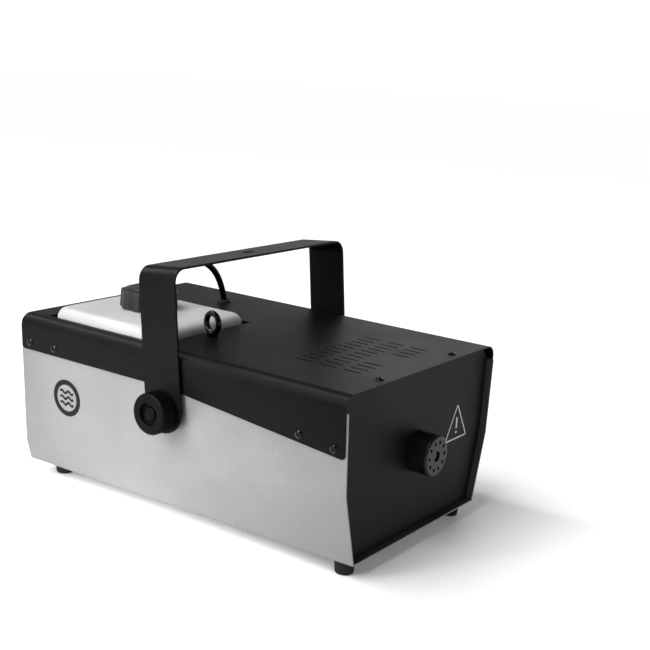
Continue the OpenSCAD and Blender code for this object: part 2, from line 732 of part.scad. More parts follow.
// Cast block with a fluid inlet and two terminals at its rear end.
module heater_block() place() color("#b8babd") difference() {
    union() {
        box([-heater_half, heater_y[0], heater_z[0]], [heater_half, heater_y[1], heater_z[1]]);
        translate([0, 0, nozzle_z]) bar_y(heater_y[1], heater_y[1] + 12, 4);
        for (x = [-14, 14]) translate([x, 0, nozzle_z]) bar_y(heater_y[1], heater_y[1] + 20, 3.2);
    }
    translate([0, 0, nozzle_z]) bar_y(heater_y[0] - slack, heater_y[1] + 13, feed_r);
}

module heater_jacket() place() color("#d9d2bf") {
    inner = [heater_half + 0.1, heater_z[1] - nozzle_z + 0.1];
    outer = inner + [jacket_t - 0.1, jacket_t - 0.1];
    translate([0, 0, nozzle_z]) difference() {
        box([-outer.x, jacket_y[0], -outer.y], [outer.x, jacket_y[1], outer.y]);
        box([-inner.x, jacket_y[0] - slack, -inner.y], [inner.x, jacket_y[1] + slack, inner.y]);
    }
}

// Two hoops round the jacket, each standing on a pair of feet.
module heater_clamps() place() color("silver") for (y = [-130, -72]) {
    t = 1.1;
    width = 12;
    inner = [heater_half + jacket_t + 0.2, heater_z[1] - nozzle_z + jacket_t + 0.2];
    outer = inner + [t, t];
    translate([0, 0, nozzle_z]) difference() {
        box([-outer.x, y, -outer.y], [outer.x, y + width, outer.y]);
        box([-inner.x, y - slack, -inner.y], [inner.x, y + width + slack, inner.y]);
    }
    both_sides() box([inner.x, y, floor_z + t], [outer.x, y + width, nozzle_z - inner.y]);
    both_sides() box([outer.x - 10, y, floor_z], [outer.x, y + width, floor_z + t]);
}

// Disc thermostat with two blade terminals, on the heater's rear end.
module thermostat() place() color("#caa472") translate([-16, heater_y[1] + 0.1, nozzle_z + 11]) {
    bar_y(0, 3, 7.5);
    bar_y(3, 9, 6);
    for (x = [-3, 2.2]) box([x, 9, -3], [x + 0.8, 17, 3]);
}

module thermal_fuse() place() color("#d8d8d8") translate([10, heater_y[1] + 2.6, nozzle_z + 13]) {
    bar_x(-6, 6, 2);
    both_sides() bar_x(6, 14, 0.5);
}

// ---- Pump ----

module at_pump() translate([hose_x, neck_y, 0]) children();

// Steel yoke round the coil, open at the sides.
module pump_yoke() place() color("#8d9094") at_pump() difference() {
    half = [coil_r, 13];
    low = coil_z[0] - 0.1;
    high = coil_z[1] + 0.1;
    box([-half.x - yoke_t, -half.y, low - yoke_t], [half.x + yoke_t, half.y, high + yoke_t]);
    box([-half.x, -half.y - slack, low], [half.x, half.y + slack, high]);
    translate([0, 0, coil_z[0] - 5]) cylinder(r = coil_bore_r, h = 60);
}

// Winding between the two flanges of its bobbin.
module pump_coil() place() color("#7a2f22") at_pump() difference() {
    flange_t = 2;
    for (z = [coil_z[0], coil_z[1] - flange_t]) translate([0, 0, z]) cylinder(r = coil_r - 0.1, h = flange_t);
    translate([0, 0, coil_z[0]]) cylinder(r = coil_r - 2.5, h = coil_z[1] - coil_z[0]);
    translate([0, 0, coil_z[0] - 1]) cylinder(r = coil_bore_r, h = 60);
}

// Cylinder through the coil, with a barb for the hose at the top and an outlet at the bottom.
module pump_cylinder() place() color("#2d2d2f") at_pump() difference() {
    union() {
        translate([0, 0, 20]) cylinder(r = 4, h = 8);
        translate([0, 0, 28]) cylinder(r = 10, h = 12);
        translate([0, 0, 34]) cylinder(r = coil_bore_r - 0.1, h = 76);
        translate([0, 0, 110]) cylinder(r = 5, h = 12);
        translate([0, 0, 122]) cylinder(r = 3.4, h = 12);
    }
    translate([0, 0, spring_z[0] - 1]) cylinder(r = plunger_r + 0.05, h = 60);
    translate([0, 0, 101]) cylinder(r = 1.2, h = 34);
    translate([0, 0, 19]) cylinder(r = 1.2, h = 24);
}

module pump_plunger() place() color("#a9adb1") at_pump() difference() {
    translate([0, 0, plunger_z[0]]) cylinder(r = plunger_r, h = plunger_z[1] - plunger_z[0]);
    translate([0, 0, plunger_z[0] - slack]) cylinder(r = 1.5, h = plunger_z[1] - plunger_z[0] + 2 * slack);
}

module pump_spring() place() color("#c9ccd0") at_pump() {
    turns = 5;
    steps = 12;
    tube([for (i = [0:turns * steps]) [spring_r * cos(360 * i / steps), spring_r * sin(360 * i / steps),
        lerp(spring_z[0], spring_z[1], i / (turns * steps))]], 0.5, 6, [0, 0, 1]);
}

// Cradle that holds the pump's yoke, on two rubber bushes.
module pump_bracket() place() color("#bfc2c5") at_pump() {
    t = 1.5;
    half = [24, 16];
    base_z = 15;
    top_z = coil_z[0] - yoke_t - 0.2;
    difference() {
        box([-half.x, -half.y, base_z], [half.x, half.y, base_z + t]);
        translate([0, 0, base_z - 5]) cylinder(r = 6, h = 10);
    }
    both_sides() box([half.x - t, -half.y, base_z + t], [half.x, half.y, top_z]);
    both_sides() box([17, -10, top_z - t], [half.x - t, 10, top_z]);
    for (x = [-18, 18]) translate([x, 0, floor_z]) cylinder(r = 6, h = base_z - floor_z);
}

module feed_tube() place() color("#c98d56") tube(feed_route, feed_r, 8, [1, 0.2, 0.3]);

// ---- Electronics ----

module control_board() place() color("#1f6b3a")
    box([board_x[0], board_y[0], board_z], [board_x[1], board_y[1], board_z + board_t]);

module board_standoffs() place() color("#c8c8c8") for (x = [board_x[0] + 4, board_x[1] - 4])
    for (y = [board_y[0] + 5, board_y[1] - 5]) translate([x, y, floor_z])
        cylinder(r = 2.6, h = board_z - floor_z - 0.1, $fn = 6);

// Transformer, two relays, terminal block and three capacitors: each box is [y, depth, width, height].
module board_parts() place() color("#3a3f46") translate([board_x[0] + 2, 0, board_z + board_t + 0.1]) {
    for (b = [[-138, 32, 30, 24], [-98, 15, 19, 15], [-78, 15, 19, 15], [-56, 7, 30, 12]])
        translate([0, b[0], 0]) cube([b[2], b[1], b[3]]);
    for (y = [-96, -82, -68]) translate([28, y, 0]) cylinder(r = 3, h = 11);
}

// Radio receiver behind the rear panel, with its module and its terminal block.
module receiver_board() place() color("#1f6b3a") {
    back_y = 180;
    t = 1.5;
    box([30, back_y - t, 104], [58, back_y, 140]);
    box([34, back_y - t - 5.5, 110], [46, back_y - t, 118]);
    box([36, back_y - t - 3.5, 126], [52, back_y - t, 134]);
}

// ---- Rear fittings ----

// Puts a copy on the rear panel's outer face at [x, z].
module on_rear(at) translate([at.x, rear_panel_y, at.y]) children();

module mains_inlet() place() color("#141414") on_rear(inlet_at) difference() {
    flange = [25, 11.2];
    depth = 18;
    socket_depth = 15;
    pin_fit = 0.1;
    union() {
        box([-flange.x, 0, -flange.y], [flange.x, 3, flange.y]);
        box([-inlet_half.x, -depth, -inlet_half.y], [inlet_half.x, 0, inlet_half.y]);
    }
    along_y(-socket_depth, 4) polygon([[-12, -8.2], [12, -8.2], [12, 3.5], [7.5, 8], [-7.5, 8], [-12, 3.5]]);
    for (s = [-1, 1]) translate([s * inlet_screw_x, 0, 0]) bar_y(-1, 4, inlet_hole_r);
    for (p = inlet_pins_at) translate([p.x, 0, p.y])
        box([-1 - pin_fit, -depth - slack, -2 - pin_fit], [1 + pin_fit, slack - socket_depth, 2 + pin_fit]);
}

module inlet_pins() place() color("#c9ccd0") on_rear(inlet_at)
    for (p = inlet_pins_at) translate([p.x, 0, p.y]) box([-1, -26, -2], [1, -2, 2]);

module inlet_screws() place() color("silver") for (s = [-1, 1])
    on_rear(inlet_at + [s * inlet_screw_x, 0]) rotate([-90, 0, 0]) translate([0, 0, 3]) {
        cylinder(r1 = 2.9, r2 = 2, h = 1.4);
        translate([0, 0, -8]) cylinder(r = 1.5, h = 8);
    }

module fuse_holder() place() color("#171717") on_rear(fuse_at) difference() {
    union() {
        bar_y(0, 3, 8);
        bar_y(-34, 0, fuse_r);
        translate([0, -panel_t - 0.2, 0]) rotate([90, 0, 0]) cylinder(d = 15 / cos(30), h = 3.4, $fn = 6);
    }
    bar_y(-30, 4, 4.6);
}

// Bayonet cap of the fuse holder, with a slot for a screwdriver.
module fuse_cap() place() color("#202020") on_rear(fuse_at) difference() {
    shoulder_y = rear_fitting_reach - 4;
    union() {
        bar_y(3.2, shoulder_y, 6.3);
        translate([0, shoulder_y, 0]) rotate([-90, 0, 0])
            cylinder(r1 = 6.3, r2 = 5, h = rear_fitting_reach - shoulder_y);
        bar_y(-26, 3.3, 4.2);
    }
    box([-7, rear_fitting_reach - 2.4, -0.8], [7, rear_fitting_reach + slack, 0.8]);
}

// Switch body with a flange outside the panel and two blade terminals inside.
module switch_housing() place() color("#181818") on_rear(switch_at) difference() {
    union() {
        box([-switch_half.x - 1.2, 0, -switch_half.y - 1], [switch_half.x + 1.2, 2, switch_half.y + 1]);
        box([-switch_half.x, -17, -switch_half.y], [switch_half.x, 0, switch_half.y]);
        for (z = [-6, 3.8]) box([-2.4, -24, z], [2.4, -17, z + 0.8]);
    }
    box([-switch_half.x + 1.2, -14, -switch_half.y + 1.2], [switch_half.x - 1.2, 3, switch_half.y - 1.2]);
}

// Rocker tipped about an axis along X: its lower half is pressed in when the machine is off.
module rocker() place() color("#8f1d1b") on_rear(switch_at) translate([0, -3, 0]) rotate([-rocker_tilt, 0, 0])
    along_x(-4.9, 4.9) difference() {
        hollow_r = 11;
        circle(r = 8.1, $fn = 64);
        translate([6.6 + hollow_r * 0.78, 0]) circle(r = hollow_r, $fn = 64);
        translate([-20, -10]) square([16, 20]);
    }

module status_lamp() place() color("#c4221c") on_rear(lamp_at) {
    bezel_t = 1.5;
    bar_y(0, bezel_t, 4.6);
    translate([0, bezel_t, 0]) rotate([-90, 0, 0])
        rotate_extrude() polygon(concat([[0, 0]], arc(0, 0, 3.2, 0, 90, 8)));
    bar_y(-16, 0, lamp_r);
}

// Round socket for a wired remote control, with five contact holes.
module remote_socket() place() color("#161616") on_rear(socket_at) difference() {
    floor_y = -9;
    union() {
        bar_y(0, 1.8, 9.6);
        bar_y(-16, 0, socket_r);
    }
    bar_y(floor_y, 3, 6.4);
    for (a = [0:45:180]) rotate([0, -a, 0]) translate([3.6, 0, 0]) bar_y(floor_y - 6, floor_y + slack, 0.7);
}

chassis_shell();
top_cover();
front_panel();
rear_panel();
bay_wall();
tank_pads();
heat_shield();
cover_side_screws();
cover_top_screws();
feet();
foot_screws();
foot_nuts();
pivot_nuts();
friction_washers();
bracket();
clamp_washers();
left_knob();
left_stud();
right_knob();
right_stud();
eye_bolt();
eye_nut();
hose_grommet();
hose_elbow();
fluid_hose();
tank();
cap();
cap_seal();
pickup_tube();
pickup_filter();
nozzle_guard();
nozzle_tip();
heater_block();
heater_jacket();
heater_clamps();
thermostat();
thermal_fuse();
pump_yoke();
pump_coil();
pump_cylinder();
pump_plunger();
pump_spring();
pump_bracket();
feed_tube();
control_board();
board_standoffs();
board_parts();
receiver_board();
mains_inlet();
inlet_pins();
inlet_screws();
fuse_holder();
fuse_cap();
switch_housing();
rocker();
status_lamp();
remote_socket();
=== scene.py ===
"""Fog machine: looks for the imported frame. Metres, in the frame's own coordinates."""
import math

import bmesh
import bpy
from mathutils import Matrix, Vector


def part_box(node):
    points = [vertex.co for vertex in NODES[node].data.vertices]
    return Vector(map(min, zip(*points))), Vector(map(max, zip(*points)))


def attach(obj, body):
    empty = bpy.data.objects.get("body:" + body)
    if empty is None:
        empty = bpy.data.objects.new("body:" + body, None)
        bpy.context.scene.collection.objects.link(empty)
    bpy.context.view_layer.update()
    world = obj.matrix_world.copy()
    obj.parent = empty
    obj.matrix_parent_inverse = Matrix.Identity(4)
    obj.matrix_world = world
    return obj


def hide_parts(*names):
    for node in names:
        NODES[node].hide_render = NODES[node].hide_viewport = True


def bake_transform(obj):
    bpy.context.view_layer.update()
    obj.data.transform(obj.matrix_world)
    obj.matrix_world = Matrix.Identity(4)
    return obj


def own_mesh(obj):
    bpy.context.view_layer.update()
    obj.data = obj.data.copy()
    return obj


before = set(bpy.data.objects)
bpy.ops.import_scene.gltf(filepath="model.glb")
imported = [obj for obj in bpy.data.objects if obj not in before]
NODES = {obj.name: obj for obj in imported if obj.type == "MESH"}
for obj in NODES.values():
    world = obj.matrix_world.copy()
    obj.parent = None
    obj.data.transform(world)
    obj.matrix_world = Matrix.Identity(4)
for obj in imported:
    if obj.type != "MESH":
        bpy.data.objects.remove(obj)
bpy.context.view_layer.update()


# ---------------------------------------------------------------- camera

CAMERA_AZIMUTH = math.radians(-54.605)
CAMERA_ELEVATION = math.radians(13.324)
CAMERA_ROLL = math.radians(3.079)
CAMERA_DISTANCE = 1.2222
CAMERA_TARGET = Vector((0.1138, 0.003, 0.1494))
CAMERA_LENS = 65.64
CAMERA_SENSOR_WIDTH = 36.0
CAMERA_CLIP = (0.05, 60.0)


def make_camera():
    """The camera stands at the front left and is rolled slightly, as the photograph was taken."""
    flat = math.cos(CAMERA_ELEVATION)
    back = Vector((math.sin(CAMERA_AZIMUTH) * flat, -math.cos(CAMERA_AZIMUTH) * flat,
                   math.sin(CAMERA_ELEVATION)))
    level_right = (-back).cross(Vector((0, 0, 1))).normalized()
    level_up = level_right.cross(-back)
    right = math.cos(CAMERA_ROLL) * level_right + math.sin(CAMERA_ROLL) * level_up
    up = math.cos(CAMERA_ROLL) * level_up - math.sin(CAMERA_ROLL) * level_right
    data = bpy.data.cameras.new("camera")
    data.lens = CAMERA_LENS
    data.sensor_width = CAMERA_SENSOR_WIDTH
    data.clip_start, data.clip_end = CAMERA_CLIP
    camera = bpy.data.objects.new("camera", data)
    bpy.context.scene.collection.objects.link(camera)
    turn = Matrix((right, up, back)).transposed().to_4x4()
    camera.matrix_world = Matrix.Translation(CAMERA_TARGET + back * CAMERA_DISTANCE) @ turn
    bpy.context.scene.camera = camera


make_camera()


# ---------------------------------------------------------------- materials

def new_material(name):
    """An empty node material with its shader; returns (material, add node, link, shader)."""
    material = bpy.data.materials.new(name)
    material.use_nodes = True
    tree = material.node_tree
    tree.nodes.clear()
    output = tree.nodes.new("ShaderNodeOutputMaterial")
    shader = tree.nodes.new("ShaderNodeBsdfPrincipled")
    tree.links.new(shader.outputs["BSDF"], output.inputs["Surface"])
    return material, tree.nodes.new, tree.links.new, shader


def object_coordinates(add, link, stretch=(1, 1, 1)):
    """Object coordinates, stretched along the axes."""
    place = add("ShaderNodeTexCoord")
    mapping = add("ShaderNodeMapping")
    mapping.inputs["Scale"].default_value = stretch
    link(place.outputs["Object"], mapping.inputs["Vector"])
    return mapping.outputs["Vector"]


def noise(add, link, where, scale, detail=2.0, roughness=0.5):
    """A noise pattern of the given scale, per metre."""
    texture = add("ShaderNodeTexNoise")
    texture.inputs["Scale"].default_value = scale
    texture.inputs["Detail"].default_value = detail
    texture.inputs["Roughness"].default_value = roughness
    link(where, texture.inputs["Vector"])
    return texture.outputs["Fac"]


def remap(add, link, value, low, high, start=0.3, stop=0.7):
    """A value between start and stop, spread from low to high."""
    node = add("ShaderNodeMapRange")
    node.inputs["From Min"].default_value = start
    node.inputs["From Max"].default_value = stop
    node.inputs["To Min"].default_value = low
    node.inputs["To Max"].default_value = high
    link(value, node.inputs["Value"])
    return node.outputs["Result"]


def two_tone(add, link, value, dark, light, start=0.35, stop=0.65):
    """A colour between dark and light as value goes from start to stop."""
    ramp = add("ShaderNodeValToRGB")
    ramp.color_ramp.elements[0].position = start
    ramp.color_ramp.elements[0].color = (*dark, 1)
    ramp.color_ramp.elements[1].position = stop
    ramp.color_ramp.elements[1].color = (*light, 1)
    link(value, ramp.inputs["Fac"])
    return ramp.outputs["Color"]


def bump(add, link, shader, height, depth, strength=1.0, below=None):
    """Relief of the given depth in metres, on top of another bump if one is given."""
    node = add("ShaderNodeBump")
    node.inputs["Distance"].default_value = depth
    node.inputs["Strength"].default_value = strength
    link(height, node.inputs["Height"])
    if below is not None:
        link(below, node.inputs["Normal"])
    link(node.outputs["Normal"], shader.inputs["Normal"])
    return node.outputs["Normal"]


def mixed(add, link, fine, broad, fine_share):
    """The sum of two patterns, of which fine has the given share."""
    total = add("ShaderNodeMath")
    total.operation = "MULTIPLY_ADD"
    total.inputs[1].default_value = fine_share
    link(fine, total.inputs[0])
    rest = add("ShaderNodeMath")
    rest.operation = "MULTIPLY"
    rest.inputs[1].default_value = 1 - fine_share
    link(broad, rest.inputs[0])
    link(rest.outputs[0], total.inputs[2])
    return total.outputs[0]


GRAIN_SHARE = 0.45
COAT_ROUGHNESS = 0.25


def coated(name, dark, light, grain, depth, rough, metallic=0.0, coat=0.0, blotch=14.0, gloss=0.5):
    """Painted, coated or moulded surface: broad and fine colour change, and a fine grain in relief."""
    material, add, link, shader = new_material(name)
    where = object_coordinates(add, link)
    broad = noise(add, link, where, blotch, 3.0)
    fine = noise(add, link, where, grain, 2.0)
    mix = mixed(add, link, fine, broad, GRAIN_SHARE)
    link(two_tone(add, link, mix, dark, light), shader.inputs["Base Color"])
    link(remap(add, link, mix, *rough), shader.inputs["Roughness"])
    shader.inputs["Metallic"].default_value = metallic
    shader.inputs["Specular IOR Level"].default_value = gloss
    shader.inputs["Coat Weight"].default_value = coat
    shader.inputs["Coat Roughness"].default_value = COAT_ROUGHNESS
    bump(add, link, shader, fine, depth)
    return material


MARK_SCALE = 900.0
MARK_DEPTH = 0.00004


def machined(name, dark, light, rough, stretch, metallic=1.0):
    """Metal with fine tool or rolling marks along one axis."""
    material, add, link, shader = new_material(name)
    where = object_coordinates(add, link, stretch)
    marks = noise(add, link, where, MARK_SCALE, 3.0, 0.6)
    broad = noise(add, link, object_coordinates(add, link), 30.0, 2.0)
    link(two_tone(add, link, broad, dark, light), shader.inputs["Base Color"])
    link(remap(add, link, marks, *rough), shader.inputs["Roughness"])
    shader.inputs["Metallic"].default_value = metallic
    bump(add, link, shader, marks, MARK_DEPTH)
    return material


CLOUD_DARK = (0.33, 0.338, 0.352)
CLOUD_LIGHT = (0.40, 0.407, 0.418)
FLOW_MARK_DEPTH = 0.0006
SKIN_DEPTH = 0.00006
SCATTER_DEPTH = 0.02


def polyethylene():
    """Translucent white blow-moulded plastic: soft, slightly cloudy, with faint flow marks."""
    material, add, link, shader = new_material("tank_polyethylene")
    where = object_coordinates(add, link)
    cloud = noise(add, link, where, 18.0, 4.0)
    skin = noise(add, link, where, 420.0, 2.0)
    link(two_tone(add, link, cloud, CLOUD_DARK, CLOUD_LIGHT, 0.25, 0.75), shader.inputs["Base Color"])
    link(remap(add, link, skin, 0.34, 0.46), shader.inputs["Roughness"])
    shader.inputs["Specular IOR Level"].default_value = 0.35
    shader.inputs["Subsurface Weight"].default_value = 0.7
    shader.inputs["Subsurface Radius"].default_value = (0.9, 0.95, 1.0)
    shader.inputs["Subsurface Scale"].default_value = SCATTER_DEPTH
    waves = noise(add, link, object_coordinates(add, link, (1, 1, 0.3)), 45.0, 2.0)
    low = bump(add, link, shader, waves, FLOW_MARK_DEPTH, 0.5)
    bump(add, link, shader, skin, SKIN_DEPTH, 0.6, low)
    return material


def printed(name, dark, light, gloss):
    """Screen print: a flat ink with a slightly broken surface."""
    return coated(name, dark, light, 1600.0, 0.00002, (0.45, 0.6), blotch=160.0, gloss=gloss)


FLAKE_SHARE = 0.7
FLAKE_DEPTH = 0.00004
FLOOR_SHEET_BAND = (0.018, 0.020)


def shell_paint():
    """Satin silver paint with fine metal flake outside, and painted shade on the sheet's inner faces: a
    dark grey that stands in for the shade and the dark front panel's reflection there.

    A side wall's inner face turns towards the middle, so its normal's x and its place's x have opposite
    signs. The floor sheet's inner face turns up and lies below the band.
    """
    material, add, link, shader = new_material("silver_paint")
    where = object_coordinates(add, link)
    broad = noise(add, link, where, 9.0, 3.0)
    flake = noise(add, link, where, 2600.0, 2.0)
    speckle = mixed(add, link, flake, broad, FLAKE_SHARE)
    paint = two_tone(add, link, speckle, (0.18, 0.18, 0.176), (0.29, 0.29, 0.286))
    place = add("ShaderNodeTexCoord")
    normal, point = add("ShaderNodeSeparateXYZ"), add("ShaderNodeSeparateXYZ")
    link(place.outputs["Normal"], normal.inputs["Vector"])
    link(place.outputs["Object"], point.inputs["Vector"])
    outward = add("ShaderNodeMath")
    outward.operation = "MULTIPLY"
    link(normal.outputs["X"], outward.inputs[0])
    link(point.outputs["X"], outward.inputs[1])
    sides = remap(add, link, outward.outputs[0], 1.0, 0.0, -0.02, -0.01)
    floor = remap(add, link, normal.outputs["Z"], 0.0, 1.0, 0.9, 0.95)
    low = remap(add, link, point.outputs["Z"], 1.0, 0.0, *FLOOR_SHEET_BAND)
    both = add("ShaderNodeMath")
    both.operation = "MULTIPLY"
    link(floor, both.inputs[0])
    link(low, both.inputs[1])
    inner = add("ShaderNodeMath")
    inner.operation = "MAXIMUM"
    link(sides, inner.inputs[0])
    link(both.outputs[0], inner.inputs[1])
    # Painted shade: the inner faces get a dark grey in place of the silver, standing in for the shade and
    # the dark panel's reflection that fall on them.
    mix = add("ShaderNodeMix")
    mix.data_type = "RGBA"
    link(inner.outputs[0], mix.inputs["Factor"])
    link(paint, mix.inputs["A"])
    link(two_tone(add, link, flake, (0.055, 0.055, 0.056), (0.080, 0.080, 0.081)), mix.inputs["B"])
    link(mix.outputs["Result"], shader.inputs["Base Color"])
    link(remap(add, link, flake, 0.36, 0.46), shader.inputs["Roughness"])
    shader.inputs["Metallic"].default_value = 0.4
    shader.inputs["Specular IOR Level"].default_value = 0.35
    bump(add, link, shader, flake, FLAKE_DEPTH)
    return material


def mineral_wool():
    """Matted glass fibre."""
    material, add, link, shader = new_material("heater_insulation")
    where = object_coordinates(add, link)
    fibres = noise(add, link, where, 700.0, 6.0, 0.7)
    link(two_tone(add, link, fibres, (0.55, 0.49, 0.36), (0.78, 0.73, 0.60)), shader.inputs["Base Color"])
    shader.inputs["Roughness"].default_value = 0.95
    bump(add, link, shader, fibres, 0.0006)
    return material


def circuit():
    """Solder mask over faint copper tracks."""
    material, add, link, shader = new_material("solder_mask")
    tracks = add("ShaderNodeTexBrick")
    tracks.inputs["Scale"].default_value = 120.0
    tracks.inputs["Mortar Size"].default_value = 0.03
    tracks.inputs["Color1"].default_value = (0.015, 0.14, 0.06, 1)
    tracks.inputs["Color2"].default_value = (0.02, 0.17, 0.07, 1)
    tracks.inputs["Mortar"].default_value = (0.05, 0.28, 0.13, 1)
    link(object_coordinates(add, link), tracks.inputs["Vector"])
    link(tracks.outputs["Color"], shader.inputs["Base Color"])
    shader.inputs["Roughness"].default_value = 0.35
    bump(add, link, shader, tracks.outputs["Fac"], 0.0001)
    return material


POWDER = coated("black_powder_coat", (0.0030, 0.0030, 0.0033), (0.0046, 0.0046, 0.0050), 1500.0, 0.00009,
                (0.34, 0.46), gloss=0.065)
PANEL = coated("black_panel_coat", (0.0038, 0.0040, 0.0045), (0.0056, 0.0059, 0.0066), 1500.0, 0.00009,
               (0.44, 0.56), gloss=0.09)
SILVER = shell_paint()
KNOB = coated("knob_plastic", (0.0018, 0.0018, 0.0020), (0.0030, 0.0030, 0.0033), 1200.0, 0.00006,
              (0.34, 0.46), blotch=60.0, gloss=0.05)
CAP = coated("cap_plastic", (0.0080, 0.0080, 0.0083), (0.0120, 0.0120, 0.0124), 900.0, 0.00006,
             (0.34, 0.46), blotch=60.0, gloss=0.26)
FITTING = coated("fitting_plastic", (0.006, 0.006, 0.0065), (0.010, 0.010, 0.0105), 1000.0, 0.00006,
                 (0.3, 0.42), blotch=80.0, gloss=0.25)
RUBBER = coated("black_rubber", (0.006, 0.006, 0.006), (0.011, 0.011, 0.011), 700.0, 0.00012,
                (0.6, 0.8), blotch=90.0, gloss=0.2)
HOSE = coated("hose_rubber", (0.002, 0.002, 0.0022), (0.0035, 0.0035, 0.004), 800.0, 0.00003,
              (0.26, 0.36), blotch=120.0, gloss=0.1)
SCREW = coated("black_oxide", (0.0015, 0.0015, 0.0017), (0.003, 0.003, 0.0033), 1400.0, 0.00003,
               (0.06, 0.10), blotch=200.0, gloss=0.22)
NOZZLE = coated("black_anodised", (0.004, 0.004, 0.0043), (0.007, 0.007, 0.0075), 1800.0, 0.00003,
                (0.24, 0.34), blotch=70.0, gloss=0.2)
ZINC = machined("zinc_plate", (0.55, 0.56, 0.58), (0.70, 0.71, 0.72), (0.22, 0.38), (1, 1, 6))
GALVANISED = machined("galvanised_sheet", (0.48, 0.49, 0.51), (0.66, 0.67, 0.68), (0.35, 0.55), (0.2, 1, 1))
BRASS = machined("sooted_brass", (0.14, 0.125, 0.10), (0.24, 0.21, 0.165), (0.35, 0.5), (1, 8, 1))
ALUMINIUM = machined("cast_aluminium", (0.62, 0.63, 0.64), (0.76, 0.77, 0.78), (0.4, 0.6), (1, 1, 1))
COPPER = machined("drawn_copper", (0.60, 0.30, 0.17), (0.74, 0.42, 0.26), (0.22, 0.36), (1, 1, 1))
TANK = polyethylene()
PALE = coated("pale_tubing", (0.70, 0.69, 0.64), (0.80, 0.79, 0.74), 500.0, 0.00004,
              (0.35, 0.5), blotch=60.0)
BRONZE = coated("sintered_bronze", (0.30, 0.20, 0.09), (0.52, 0.37, 0.18), 1300.0, 0.0003,
                (0.5, 0.7), metallic=0.8)
CERAMIC = coated("glazed_ceramic", (0.72, 0.72, 0.69), (0.82, 0.82, 0.80), 300.0, 0.00003, (0.12, 0.2))
VARNISH = machined("varnished_winding", (0.22, 0.05, 0.02), (0.36, 0.09, 0.04), (0.25, 0.4),
                   (0.3, 0.3, 6), metallic=0.3)
WOOL = mineral_wool()
BOARD = circuit()
COMPONENT = coated("component_case", (0.03, 0.035, 0.045), (0.05, 0.055, 0.065), 900.0, 0.00004,
                   (0.35, 0.5))
RED = coated("red_plastic", (0.42, 0.012, 0.010), (0.52, 0.022, 0.016), 600.0, 0.00003,
             (0.18, 0.28), coat=0.4)
DARK_PRINT = printed("dark_print", (0.006, 0.006, 0.006), (0.010, 0.010, 0.010), 0.1)
LIGHT_PRINT = printed("light_print", (0.46, 0.46, 0.45), (0.58, 0.58, 0.57), 0.4)

MATERIAL_OF = {
    SILVER: ["chassis_shell"],
    POWDER: ["top_cover", "bracket"],
    PANEL: ["front_panel", "rear_panel"],
    SCREW: ["cover_side_screws", "cover_top_screws", "eye_bolt"],
    GALVANISED: ["bay_wall", "heat_shield", "heater_clamps", "pump_bracket"],
    ZINC: ["foot_screws", "foot_nuts", "pivot_nuts", "clamp_washers", "left_stud", "right_stud", "eye_nut",
           "inlet_screws", "inlet_pins", "pump_spring", "pump_plunger", "pump_yoke", "board_standoffs"],
    RUBBER: ["feet", "friction_washers", "hose_grommet", "tank_pads"],
    HOSE: ["fluid_hose"],
    KNOB: ["left_knob", "right_knob"],
    CAP: ["cap"],
    FITTING: ["mains_inlet", "fuse_holder", "fuse_cap", "switch_housing", "remote_socket", "pump_cylinder",
              "hose_elbow"],
    TANK: ["tank"],
    PALE: ["cap_seal", "pickup_tube"],
    BRONZE: ["pickup_filter"],
    NOZZLE: ["nozzle_guard"],
    BRASS: ["nozzle_tip"],
    ALUMINIUM: ["heater_block"],
    WOOL: ["heater_jacket"],
    COPPER: ["feed_tube", "thermostat"],
    CERAMIC: ["thermal_fuse"],
    VARNISH: ["pump_coil"],
    BOARD: ["control_board", "receiver_board"],
    COMPONENT: ["board_parts"],
    RED: ["rocker", "status_lamp"],
}


def set_material(piece, material):
    """The piece has this material and no other."""
    piece.data.materials.clear()
    piece.data.materials.append(material)


for material, names in MATERIAL_OF.items():
    for name in names:
        set_material(NODES[name], material)


# ---------------------------------------------------------------- mesh tools

def new_piece(name, vertices, faces, material, body, smooth_below=35.0):
    """A mesh object with one material, riding on a body, or on none yet if body is None.

    Edges sharper than smooth_below degrees stay crisp.
    """
    mesh = bpy.data.meshes.new(name)
    mesh.from_pydata([tuple(v) for v in vertices], [], faces)
    mesh.materials.append(material)
    edit = bmesh.new()
    edit.from_mesh(mesh)
    bmesh.ops.recalc_face_normals(edit, faces=edit.faces)
    for face in edit.faces:
        face.smooth = True
    limit = math.radians(smooth_below)
    for edge in edit.edges:
        edge.smooth = len(edge.link_faces) == 2 and edge.calc_face_angle(0.0) < limit
    edit.to_mesh(mesh)
    edit.free()
    piece = bpy.data.objects.new(name, mesh)
    bpy.context.scene.collection.objects.link(piece)
    if body:
        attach(piece, body)
    return piece


def loft(rings, endless=False):
    """Vertices and faces of a skin through rings of equal length.

    The first and last rings are capped, or joined to each other where the skin is endless.
    """
    count = len(rings[0])
    vertices = [p for ring in rings for p in ring]
    faces = []
    for i in range(len(rings) - 1):
        for j in range(count):
            a, b = i * count + j, i * count + (j + 1) % count
            faces.append((a, b, b + count, a + count))
    last = (len(rings) - 1) * count
    if endless:
        faces += [(j, last + j, last + (j + 1) % count, (j + 1) % count) for j in range(count)]
    else:
        faces.append(tuple(reversed(range(count))))
        faces.append(tuple(range(last, last + count)))
    return vertices, faces


def tube(line, radius, sides, side_at):
    """Rings of a round tube along a line. side_at(point) is a direction across the line there."""
    last = len(line) - 1
    rings = []
    for i, point in enumerate(line):
        ahead = (line[min(i + 1, last)] - line[max(i - 1, 0)]).normalized()
        side = side_at(point)
        up = ahead.cross(side)
        rings.append([point + radius * (math.cos(a) * side + math.sin(a) * up)
                      for a in (2 * math.pi * k / sides for k in range(sides))])
    return rings


